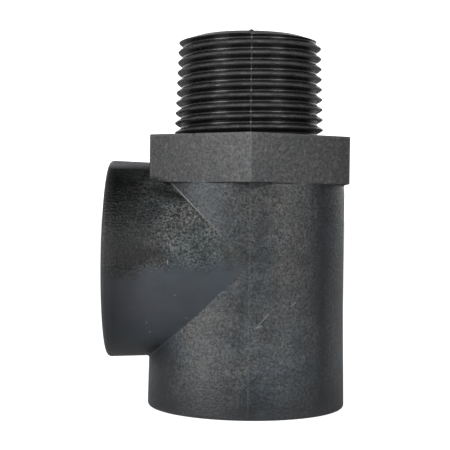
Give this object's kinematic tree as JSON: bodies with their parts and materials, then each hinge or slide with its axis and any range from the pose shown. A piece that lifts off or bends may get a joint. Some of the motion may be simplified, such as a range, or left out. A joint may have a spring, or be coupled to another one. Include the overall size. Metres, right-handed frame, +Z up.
{
  "type": "threaded pipe tee",
  "caption": "Moulded plastic pipe tee for irrigation lines: threaded female ports below and to one side, a male taper thread on top and a hexagonal spanner collar.",
  "frame": {"origin": "under the middle of the fitting's box, on the plane of the lower port's mouth", "axes": "+Z up the straight run, from the lower port to the male thread; -X out of the side port; +Y completes the right-handed frame"},
  "size_m": [0.0426, 0.04, 0.0658],
  "materials": {
    "body_plastic": "black-grey moulded plastic with a faint blue cast, satin and slightly mottled",
    "branch_plastic": "the same plastic, a little darker, with fine flow grain on its upper half",
    "collar_plastic": "the same plastic with a fine, dry, matte texture",
    "thread_plastic": "the same plastic, near black and semi-gloss on the thread",
    "bore_plastic": "the same plastic as left by the threaded core pins, dark and semi-gloss"
  },
  "bodies": {
    "root": {"run_barrel": "body_plastic", "branch_barrel": "branch_plastic", "hex_collar": "collar_plastic", "male_thread_spigot": "thread_plastic", "run_port_thread": "bore_plastic", "branch_port_thread": "bore_plastic"}
  },
  "joints": []
}
